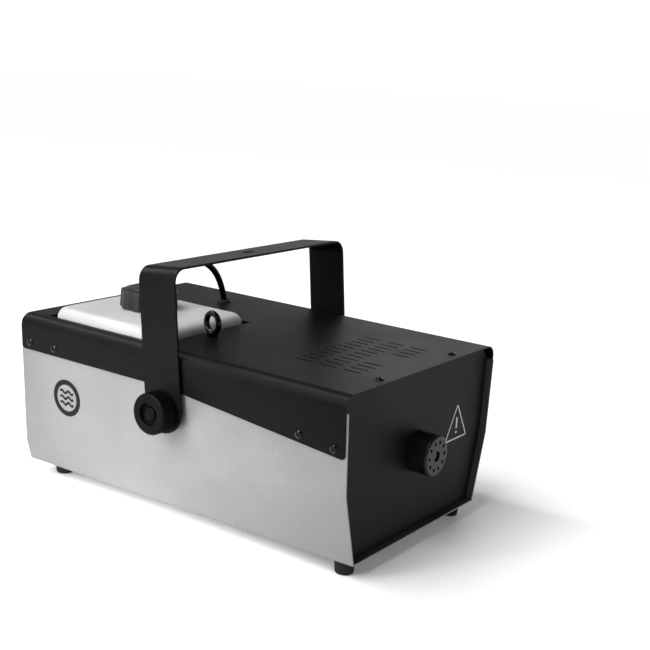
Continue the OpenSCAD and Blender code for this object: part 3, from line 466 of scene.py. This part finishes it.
def fillet(corners, steps=5):
    """A 2-D line through corners (u, v, radius), with each corner rounded to its radius."""
    line = []
    for i, (u, v, radius) in enumerate(corners):
        here = Vector((u, v))
        if radius <= 0 or i in (0, len(corners) - 1):
            line.append(here)
            continue
        before = (Vector(corners[i - 1][:2]) - here).normalized()
        after = (Vector(corners[i + 1][:2]) - here).normalized()
        half = before.angle(after) / 2
        reach = radius / math.tan(half)
        centre = here + (before + after).normalized() * radius / math.sin(half)
        start, stop = here + before * reach - centre, here + after * reach - centre
        turn = start.angle_signed(stop)
        for k in range(steps + 1):
            line.append(centre + Matrix.Rotation(-turn * k / steps, 2) @ start)
    return line


def divided(line, spacing):
    """The line with more points on it, no further apart than about twice the spacing."""
    dense = []
    for a, b in zip(line, line[1:]):
        steps = max(1, int((b - a).length / spacing))
        dense += [a.lerp(b, k / steps) for k in range(steps)]
    return dense + [line[-1]]


def lathe(line, segments, to_frame, radius_at=None):
    """Rings of the line (radius, height) turned about an axis.

    radius_at(radius, height, angle) may shape each ring.
    """
    rings = []
    for u, v in line:
        ring = []
        for k in range(segments):
            angle = 2 * math.pi * k / segments
            r = radius_at(u, v, angle) if radius_at else u
            ring.append(to_frame @ Vector((r * math.cos(angle), r * math.sin(angle), v)))
        rings.append(ring)
    return rings


def add_bevel(piece, width, segments=2, angle=30.0):
    """Rounds the crisp edges of a piece a little, so that they catch the light."""
    modifier = piece.modifiers.new("edge", "BEVEL")
    modifier.width = width
    modifier.segments = segments
    modifier.limit_method = "ANGLE"
    modifier.angle_limit = math.radians(angle)
    modifier.use_clamp_overlap = True
    modifier.harden_normals = False


# ---------------------------------------------------------------- fluid hose

HOSE_Y = 0.101
HOSE_DIAMETER = 0.0065
HOSE_SIDES = 20
HOSE_STEPS = 6
HOSE_ROUTE = [
    (-0.0350, 0.2065), (-0.0315, 0.2085), (-0.0278, 0.2100), (-0.0239, 0.2112), (-0.0200, 0.2120),
    (-0.0120, 0.2128), (-0.0040, 0.2131), (0.0050, 0.2131), (0.0140, 0.2129), (0.0220, 0.2123),
    (0.0300, 0.2109), (0.0350, 0.2093), (0.0400, 0.2070), (0.0470, 0.2022), (0.0526, 0.1970),
    (0.0576, 0.1905), (0.0614, 0.1835), (0.0643, 0.1770), (0.0663, 0.1718), (0.0672, 0.1676),
    (0.0674, 0.1630), (0.0674, 0.1560), (0.0674, 0.1480),
]


def smooth_line(points, steps):
    """A Catmull-Rom line through the points."""
    line = []
    for i in range(len(points) - 1):
        p0, p1 = points[max(i - 1, 0)], points[i]
        p2, p3 = points[i + 1], points[min(i + 2, len(points) - 1)]
        for k in range(steps):
            t = k / steps
            line.append(0.5 * (2 * p1 + (p2 - p0) * t + (2 * p0 - 5 * p1 + 4 * p2 - p3) * t ** 2
                               + (3 * p1 - p0 - 3 * p2 + p3) * t ** 3))
    return line + [points[-1]]


def make_hose():
    """The hose from the cap's elbow, over and down through the grommet to the pump."""
    line = smooth_line([Vector((x, HOSE_Y, z)) for x, z in HOSE_ROUTE], HOSE_STEPS)
    vertices, faces = loft(tube(line, HOSE_DIAMETER / 2, HOSE_SIDES, lambda point: Vector((0, 1, 0))))
    hose = new_piece("fluid_hose_detail", vertices, faces, HOSE, None)
    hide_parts("fluid_hose")
    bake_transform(hose)


make_hose()


# ---------------------------------------------------------------- knobs

KNOB_RIBS = 48
KNOB_RIB_DEPTH = 0.0007
KNOB_SIDES_PER_RIB = 8
KNOB_BORE_R = 0.0042
KNOB_COLLAR_R = 0.0140
KNOB_COLLAR_RISE = 0.0012
KNOB_SINK_R = 0.0102
KNOB_SINK_DEPTH = 0.0040
KNOB_BOSS_R = 0.0060


def make_knob(side, name, body, node):
    """A clamp knob: a collar, a ribbed rim, a flat face with a sunk ring and a domed boss in it."""
    low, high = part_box(node)
    centre_y, centre_z = (low.y + high.y) / 2, (low.z + high.z) / 2
    outer = (high.z - low.z) / 2
    inner_x, face_x = min(abs(low.x), abs(high.x)), max(abs(low.x), abs(high.x))
    depth = face_x - inner_x
    to_frame = (Matrix.Translation((side * inner_x, centre_y, centre_z))
                @ Matrix.Rotation(side * math.pi / 2, 4, "Y"))
    collar, sunk = KNOB_COLLAR_RISE, depth - KNOB_SINK_DEPTH
    line = fillet([
        (KNOB_BORE_R, 0, 0), (KNOB_COLLAR_R, 0, 0.0005), (KNOB_COLLAR_R, collar, 0.0002),
        (outer - 0.0012, collar, 0.0006), (outer, 2 * collar, 0.0006),
        (outer, depth - 0.0012, 0.0005), (outer - 0.0018, depth, 0.0006),
        (KNOB_SINK_R, depth, 0.0005), (KNOB_SINK_R - 0.0006, sunk, 0.0006),
        (KNOB_BOSS_R + 0.0004, sunk, 0.0006), (KNOB_BOSS_R, depth - 0.0018, 0.0010),
        (0.0034, depth - 0.0012, 0.0020), (0.0004, depth - 0.0010, 0),
    ], 6)

    def ribbed(r, height, angle):
        back = min(1.0, max(0.0, (height - 0.0014) / 0.0010))
        face = min(1.0, max(0.0, (depth - 0.0002 - height) / 0.0010))
        share = back * face if r > outer - 0.0016 else 0.0
        return r - share * KNOB_RIB_DEPTH * (0.5 - 0.5 * math.cos(KNOB_RIBS * angle))

    rings = lathe(divided(line, spacing=0.0012), KNOB_RIBS * KNOB_SIDES_PER_RIB, to_frame, ribbed)
    vertices, faces = loft(rings)
    knob = new_piece(name, vertices, faces, KNOB, body, 50.0)
    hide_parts(node)


make_knob(-1, "left_knob_detail", "left_knob", "left_knob")
make_knob(1, "right_knob_detail", "right_knob", "right_knob")


# ---------------------------------------------------------------- tank and cap

TANK_CORNER = 0.0155
TANK_EDGE = 0.0100
TANK_WALL = 0.0022
TANK_CROWN = 0.0014
TANK_NECK_R = 0.022
TANK_MOUTH_R = 0.019
TANK_SEAM_DROP = 0.0185
TANK_SEAM_BULGE = 0.0005
TANK_SIDE_HEIGHTS = (0.03, 0.06, 0.09, 0.115)
TANK_CROWN_SHARES = (0.12, 0.3, 0.5, 0.7, 0.86)
TANK_LOW_EDGE_STEPS = 6
TANK_TOP_EDGE_STEPS = 8
CAP_GAP = 0.001
CORNER_STEPS = 10
SIDE_STEPS = 8


def rounded_rectangle(half_x, half_y, radius):
    """Points round a rectangle with round corners, counter-clockwise, always the same number of them."""
    points = []
    for quarter, (sx, sy) in enumerate(((1, 1), (-1, 1), (-1, -1), (1, -1))):
        centre = Vector((sx * (half_x - radius), sy * (half_y - radius)))
        for k in range(CORNER_STEPS + 1):
            a = math.pi / 2 * (quarter + k / CORNER_STEPS)
            points.append(centre + radius * Vector((math.cos(a), math.sin(a))))
        turn = math.pi / 2 * (quarter + 1)
        nx, ny = ((-1, 1), (-1, -1), (1, -1), (1, 1))[quarter]
        start = points[-1]
        next_centre = Vector((nx * (half_x - radius), ny * (half_y - radius)))
        stop = next_centre + radius * Vector((math.cos(turn), math.sin(turn)))
        points += [start.lerp(stop, k / SIDE_STEPS) for k in range(1, SIDE_STEPS)]
    return points


def make_tank():
    """Blow-moulded tank with a hollow inside, a crowned top, a mould seam and a neck."""
    low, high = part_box("tank")
    cap_low, cap_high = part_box("cap")
    neck = Vector(((cap_low.x + cap_high.x) / 2, (cap_low.y + cap_high.y) / 2))
    centre = Vector(((low.x + high.x) / 2, (low.y + high.y) / 2))
    half = Vector(((high.x - low.x) / 2, (high.y - low.y) / 2))
    top, bottom, mouth = cap_low.z - CAP_GAP, low.z, high.z

    def ring(inset, z):
        radius = max(0.004, TANK_CORNER - inset)
        return [Vector((centre.x + p.x, centre.y + p.y, z))
                for p in rounded_rectangle(half.x - inset, half.y - inset, radius)]

    def round_ring(r, z, share=1.0, inset=0.0):
        outline = ring(inset, z)
        made = []
        for p in outline:
            away = (Vector((p.x, p.y)) - neck).normalized()
            q = neck + away * r
            made.append(Vector((p.x + (q.x - p.x) * share, p.y + (q.y - p.y) * share, z)))
        return made

    def skin(inset):
        edge = TANK_EDGE - inset
        rings = []
        for k in range(TANK_LOW_EDGE_STEPS + 1):
            a = math.pi / 2 * k / TANK_LOW_EDGE_STEPS
            rings.append(ring(inset + edge * (1 - math.sin(a)), bottom + inset + edge * (1 - math.cos(a))))
        for z in TANK_SIDE_HEIGHTS:
            rings.append(ring(inset, bottom + z))
        seam = top - TANK_SEAM_DROP
        bulge = TANK_SEAM_BULGE if inset == 0 else 0.0
        rings += [ring(inset, seam - 0.0012), ring(inset - bulge, seam - 0.0004),
                  ring(inset - bulge, seam + 0.0004), ring(inset, seam + 0.0012)]
        rim = top - TANK_CROWN - inset
        for k in range(TANK_TOP_EDGE_STEPS + 1):
            a = math.pi / 2 * k / TANK_TOP_EDGE_STEPS
            rings.append(ring(inset + edge * (1 - math.cos(a)), rim - edge * (1 - math.sin(a))))
        for share in TANK_CROWN_SHARES:
            z = rim + TANK_CROWN * math.sin(math.pi / 2 * share)
            rings.append(round_ring(TANK_NECK_R + 0.003, z, share, inset + edge))
        return rings

    outside = skin(0.0)
    outside += [round_ring(TANK_NECK_R + 0.003, top), round_ring(TANK_NECK_R + 0.0008, top + 0.0006),
                round_ring(TANK_NECK_R, top + 0.0022), round_ring(TANK_NECK_R, mouth - 0.0004),
                round_ring(TANK_NECK_R - 0.0004, mouth)]
    inside = skin(TANK_WALL)
    inside += [round_ring(TANK_MOUTH_R + 0.004, top - TANK_WALL), round_ring(TANK_MOUTH_R, top - 0.001),
               round_ring(TANK_MOUTH_R, mouth - 0.0004), round_ring(TANK_MOUTH_R + 0.0004, mouth)]
    vertices, faces = loft(outside + inside[::-1])
    tank = new_piece("tank_moulding", vertices, faces, TANK, "tank", 60.0)
    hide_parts("tank")


make_tank()

CAP_LOBES = 10
CAP_SCALLOP_AWAY = 0.0355
CAP_SCALLOP_R = 0.010
CAP_EASE = 2600.0
CAP_RECESS_R = 0.024
CAP_RECESS_DEPTH = 0.0136
CAP_DISC_R = 0.0190
CAP_HOLE_R = 0.0030
CAP_SEGMENTS = 240


def cap_outline(radius, angle):
    """Outer radius of the lobed cap at an angle, with the lobes' corners eased."""
    step = 2 * math.pi / CAP_LOBES
    phi = (angle + step / 2) % step - step / 2
    reach = CAP_SCALLOP_R ** 2 - (CAP_SCALLOP_AWAY * math.sin(phi)) ** 2
    if reach <= 0:
        return radius
    scallop = CAP_SCALLOP_AWAY * math.cos(phi) - math.sqrt(reach)
    eased = -math.log(math.exp(-CAP_EASE * radius) + math.exp(-CAP_EASE * scallop)) / CAP_EASE
    return min(radius, eased + 0.0001)


def make_cap():
    """Screw cap: ten lobes that taper upwards, a sloping shoulder, a raised disc and a hollow underside."""
    low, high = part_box("cap")
    outer = (high.x - low.x) / 2
    height = high.z - low.z
    to_frame = Matrix.Translation(((low.x + high.x) / 2, (low.y + high.y) / 2, low.z))
    line = fillet([
        (CAP_HOLE_R, CAP_RECESS_DEPTH, 0), (CAP_RECESS_R - 0.0006, CAP_RECESS_DEPTH, 0.001),
        (CAP_RECESS_R, 0, 0.0004), (outer - 0.0003, 0, 0.0004),
        (outer, 0.0010, 0.0006), (outer - 0.0008, height - 0.0026, 0.0007),
        (CAP_DISC_R, height - 0.0009, 0.0006), (CAP_DISC_R - 0.0005, height, 0.0005),
        (0.0060, height, 0.0010), (0.0045, height - 0.0004, 0.0004), (0.0028, height - 0.0004, 0),
    ], 5)
    smooth_r = CAP_DISC_R + 0.0015

    def lobed(r, z, angle):
        if r <= CAP_RECESS_R + 0.0006 and z < height - 0.003:
            return r
        share = max(0.0, (r - smooth_r) / (outer - smooth_r))
        return r - share * (outer - cap_outline(outer, angle))

    vertices, faces = loft(lathe(divided(line, spacing=0.003), CAP_SEGMENTS, to_frame, lobed), endless=True)
    cap = new_piece("cap_moulding", vertices, faces, CAP, "cap", 40.0)
    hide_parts("cap")


make_cap()


# ---------------------------------------------------------------- feet

FOOT_TOP_R = 0.0093
FOOT_BOTTOM_R = 0.0080
FOOT_HOLE_R = 0.00205
FOOT_SEAT_R = 0.0044
FOOT_SEAT_THICKNESS = 0.006
FOOT_SEGMENTS = 48
FOOT_SCREW_HEAD_R = 0.0036


def make_feet():
    """Four tapered rubber feet with rounded rims, a sunk screw seat and a moulding ring."""
    low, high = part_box("feet")
    screws_low, screws_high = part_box("foot_screws")
    height = high.z - low.z
    xs = (screws_low.x + FOOT_SCREW_HEAD_R, screws_high.x - FOOT_SCREW_HEAD_R)
    ys = (screws_low.y + FOOT_SCREW_HEAD_R, screws_high.y - FOOT_SCREW_HEAD_R)
    seat_z = height - FOOT_SEAT_THICKNESS
    line = fillet([
        (FOOT_HOLE_R, seat_z, 0), (FOOT_SEAT_R, seat_z, 0.0003), (FOOT_SEAT_R, 0, 0.0004),
        (FOOT_BOTTOM_R, 0, 0.0012), (FOOT_BOTTOM_R + 0.0004, 0.0035, 0.0005),
        (FOOT_TOP_R - 0.0004, height - 0.0026, 0.0006), (FOOT_TOP_R, height - 0.0020, 0.0004),
        (FOOT_TOP_R, height, 0.0003), (FOOT_HOLE_R, height, 0),
    ], 4)
    vertices, faces = [], []
    for x in xs:
        for y in ys:
            rings = lathe(line, FOOT_SEGMENTS, Matrix.Translation((x, y, low.z)))
            foot_vertices, foot_faces = loft(rings, endless=True)
            faces += [tuple(i + len(vertices) for i in face) for face in foot_faces]
            vertices += foot_vertices
    feet = new_piece("feet_moulding", vertices, faces, RUBBER, "chassis", 40.0)
    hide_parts("feet")


make_feet()


# ---------------------------------------------------------------- pump spring

SPRING_WIRE_R = 0.0005
SPRING_TURNS = 5
SPRING_STEPS = 32
SPRING_SIDES = 10
SPRING_END_EASE = 0.6


def make_pump_spring():
    """Helical return spring, closer wound at its ends."""
    low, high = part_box("pump_spring")
    middle = (low + high) / 2
    coil_r = (high.x - low.x) / 2 - SPRING_WIRE_R
    rise = high.z - low.z - 2 * SPRING_WIRE_R
    count = SPRING_TURNS * SPRING_STEPS
    line = []
    for i in range(count + 1):
        share = i / count
        angle = 2 * math.pi * SPRING_TURNS * share
        eased = share - SPRING_END_EASE * math.sin(2 * math.pi * share) / (2 * math.pi)
        line.append(Vector((middle.x + coil_r * math.cos(angle), middle.y + coil_r * math.sin(angle),
                            low.z + SPRING_WIRE_R + rise * eased)))

    def outward(point):
        return Vector((point.x - middle.x, point.y - middle.y, 0)).normalized()

    vertices, faces = loft(tube(line, SPRING_WIRE_R, SPRING_SIDES, outward))
    spring = new_piece("pump_spring_coil", vertices, faces, ZINC, "chassis")
    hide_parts("pump_spring")
    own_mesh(spring)


make_pump_spring()


# ---------------------------------------------------------------- edges of the CAD nodes

BEVELS = {
    "top_cover": 0.0003, "bracket": 0.0006, "front_panel": 0.0003, "rear_panel": 0.0003,
    "nozzle_guard": 0.0004, "eye_bolt": 0.0003, "cover_side_screws": 0.00025, "cover_top_screws": 0.00025,
    "mains_inlet": 0.0004, "hose_elbow": 0.0003, "fuse_cap": 0.0004, "fuse_holder": 0.0003,
    "switch_housing": 0.0005, "rocker": 0.0005, "remote_socket": 0.0004,
}
for name, width in BEVELS.items():
    add_bevel(NODES[name], width)


# ---------------------------------------------------------------- printed marks

MARK_LIFT = 0.00006
MARK_THICKNESS = 0.00008


def stroke(points, width, closed=False):
    """Left and right edges of a pen line of the given width through 2-D points."""
    count = len(points)
    edges = []
    for i, here in enumerate(points):
        before = points[(i - 1) % count] if closed or i > 0 else here
        after = points[(i + 1) % count] if closed or i < count - 1 else here
        back = (here - before).normalized() if here != before else (after - here).normalized()
        ahead = (after - here).normalized() if after != here else back
        normal = Vector((-(back + ahead).y, (back + ahead).x)).normalized()
        reach = width / 2 / max(0.4, normal.dot(Vector((-ahead.y, ahead.x))))
        edges.append((here + normal * reach, here - normal * reach))
    return edges


def make_mark(name, strokes, to_surface, material):
    """Thin ink lines on a flat surface, riding on the chassis.

    to_surface(u, v, lift) gives the place of a point of the drawing.
    """
    vertices, faces = [], []
    for edges, closed in strokes:
        first = len(vertices)
        for left, right in edges:
            for side, lift in ((left, 0), (right, 0), (right, 1), (left, 1)):
                vertices.append(to_surface(side.x, side.y, MARK_LIFT + lift * MARK_THICKNESS))
        count = len(edges)
        for i in range(count if closed else count - 1):
            a, b = first + 4 * i, first + 4 * ((i + 1) % count)
            faces += [(a + k, a + (k + 1) % 4, b + (k + 1) % 4, b + k) for k in range(4)]
        if not closed:
            last = first + 4 * (count - 1)
            faces += [tuple(range(first + 3, first - 1, -1)), tuple(range(last, last + 4))]
    new_piece(name, vertices, faces, material, "chassis", 20.0)


def circle_points(radius, count, centre=(0, 0)):
    """Points round a circle."""
    return [Vector((centre[0] + radius * math.cos(2 * math.pi * k / count),
                    centre[1] + radius * math.sin(2 * math.pi * k / count))) for k in range(count)]


SIDE_LEAN = 0.048
SHELL_HALF_AT_FLOOR = 0.113328
FLOOR_SHEET_Z = 0.014
SIGN_Y, SIGN_Z = 0.135, 0.091
SIGN_RING_R = 0.0156
SIGN_RING_WIDTH = 0.0050
WAVE_HALF = 0.0088
WAVE_RISE = 0.0013
WAVE_GAP = 0.0058
WAVE_WIDTH = 0.0023
WAVE_STEPS = 48


def make_fog_sign():
    """A ring with three wavy lines, on the left side of the housing behind the bracket."""
    tilt = math.atan(SIDE_LEAN)
    out = Vector((-math.cos(tilt), 0, -math.sin(tilt)))
    up = Vector((-math.sin(tilt), 0, math.cos(tilt)))
    x = -(SHELL_HALF_AT_FLOOR + SIDE_LEAN * (SIGN_Z - FLOOR_SHEET_Z))
    middle = Vector((x, SIGN_Y, SIGN_Z))

    def on_side(u, v, lift):
        return middle + u * Vector((0, -1, 0)) + v * up + lift * out

    strokes = [(stroke(circle_points(SIGN_RING_R, 96), SIGN_RING_WIDTH, True), True)]
    for level in (-WAVE_GAP, 0, WAVE_GAP):
        shares = [2 * k / WAVE_STEPS - 1 for k in range(WAVE_STEPS + 1)]
        wave = [Vector((share * WAVE_HALF, level + WAVE_RISE * math.sin(2 * math.pi * share)))
                for share in shares]
        strokes.append((stroke(wave, WAVE_WIDTH), False))
    make_mark("side_fog_sign", strokes, on_side, DARK_PRINT)


CAUTION_X, CAUTION_Z = 0.0688, 0.0937
CAUTION_BASE_HALF = 0.0170
CAUTION_BASE_V = -0.0099
CAUTION_APEX_V = 0.0195
CAUTION_CORNER_R = 0.0010
CAUTION_LINE_WIDTH = 0.0014
CAUTION_BAR_TOP = 0.0095
CAUTION_BAR_STEP = 0.0015
CAUTION_BAR_WIDTH = 0.0024
CAUTION_DOT_V = -0.0048


def make_caution_sign():
    """A triangle with an upright bar and a dot, on the front panel beside the nozzle."""
    panel_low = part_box("front_panel")[0]
    middle = Vector((CAUTION_X, panel_low.y, CAUTION_Z))

    def on_panel(u, v, lift):
        return middle + u * Vector((1, 0, 0)) + v * Vector((0, 0, 1)) - lift * Vector((0, 1, 0))

    def rounded_corner(centre, start):
        angles = (math.radians(start + 120 * k / 6) for k in range(7))
        return [Vector(centre) + CAUTION_CORNER_R * Vector((math.cos(a), math.sin(a))) for a in angles]

    outline = rounded_corner((CAUTION_BASE_HALF, CAUTION_BASE_V), -90)
    outline += rounded_corner((0, CAUTION_APEX_V), 30)
    outline += rounded_corner((-CAUTION_BASE_HALF, CAUTION_BASE_V), 150)
    bar = [Vector((0, CAUTION_BAR_TOP - CAUTION_BAR_STEP * k)) for k in range(8)]
    dot = circle_points(0.0007, 16, (0, CAUTION_DOT_V))
    strokes = [(stroke(outline, CAUTION_LINE_WIDTH, True), True), (stroke(bar, CAUTION_BAR_WIDTH), False),
               (stroke(dot, 0.0013, True), True)]
    make_mark("front_caution_sign", strokes, on_panel, LIGHT_PRINT)


make_fog_sign()
make_caution_sign()


# ---------------------------------------------------------------- studio

FLOOR_HALF = 9.0
FLOOR_DROP = 0.0004
FLOOR_GLOW = 0.10
HORIZON = (1.05, 1.05, 1.05)
CEILING = (0.16, 0.16, 0.16)
HORIZON_TOP = 0.08
CEILING_BOTTOM = 0.22
SUN_FROM = Vector((-0.62, 0.32, 1.0))
SUN_STRENGTH = 3.0
SUN_WIDTH = math.radians(50)


def aim(lamp, direction):
    """Turns a lamp so that it shines in the direction, and adds it to the scene."""
    lamp.rotation_euler = direction.to_track_quat("-Z", "Y").to_euler()
    bpy.context.scene.collection.objects.link(lamp)


def area(name, location, target, size, power, spread=180):
    """A rectangular lamp at a place, shining on a target, that the camera doesn't see."""
    data = bpy.data.lights.new(name, "AREA")
    data.shape = "RECTANGLE"
    data.size, data.size_y = size
    data.energy = power
    data.spread = math.radians(spread)
    lamp = bpy.data.objects.new(name, data)
    lamp.visible_camera = False
    lamp.location = location
    aim(lamp, Vector(target) - Vector(location))


def make_floor():
    """A pale paper floor that glows a little, so that it stays white far from the object."""
    mesh = bpy.data.meshes.new("floor")
    h = FLOOR_HALF
    mesh.from_pydata([(-h, -h, 0), (h, -h, 0), (h, h, 0), (-h, h, 0)], [], [(0, 1, 2, 3)])
    floor = bpy.data.objects.new("floor", mesh)
    bpy.context.scene.collection.objects.link(floor)
    floor.location.z = -FLOOR_DROP
    material, add, link, shader = new_material("floor_paper")
    where = object_coordinates(add, link)
    link(two_tone(add, link, noise(add, link, where, 3.0), (0.93, 0.93, 0.93), (0.95, 0.95, 0.95)),
         shader.inputs["Base Color"])
    shader.inputs["Roughness"].default_value = 0.9
    shader.inputs["Specular IOR Level"].default_value = 0.1
    shader.inputs["Emission Color"].default_value = (1, 1, 1, 1)
    shader.inputs["Emission Strength"].default_value = FLOOR_GLOW
    mesh.materials.append(material)


def make_surround():
    """A surround that is white at the horizon and dim overhead."""
    world = bpy.data.worlds.new("studio")
    world.use_nodes = True
    tree = world.node_tree
    add, link = tree.nodes.new, tree.links.new
    background = tree.nodes["Background"]
    direction = add("ShaderNodeTexCoord")
    split = add("ShaderNodeSeparateXYZ")
    link(direction.outputs["Generated"], split.inputs["Vector"])
    link(two_tone(add, link, split.outputs["Z"], HORIZON, CEILING, HORIZON_TOP, CEILING_BOTTOM),
         background.inputs["Color"])
    background.inputs["Strength"].default_value = 1.0
    bpy.context.scene.world = world


def make_lamps():
    """A wide soft sun from the upper left, and three area lamps for the sides and the rounded edges."""
    daylight = bpy.data.lights.new("overhead", "SUN")
    daylight.energy = SUN_STRENGTH
    daylight.angle = SUN_WIDTH
    aim(bpy.data.objects.new("overhead", daylight), -SUN_FROM)
    area("left", (-0.50, 0.10, 0.26), (-0.12, 0.055, 0.08), (0.3, 0.3), 0.50, spread=54)
    area("rear", (2.6, 0.9, 1.5), (0, -0.05, 0.15), (1.4, 1.2), 8.5)
    area("strip", (-0.12, 0.62, 1.0), (-0.12, 0.10, 0.15), (0.10, 1.0), 6)


make_floor()
make_surround()
make_lamps()
bpy.context.scene.view_settings.view_transform = "Standard"
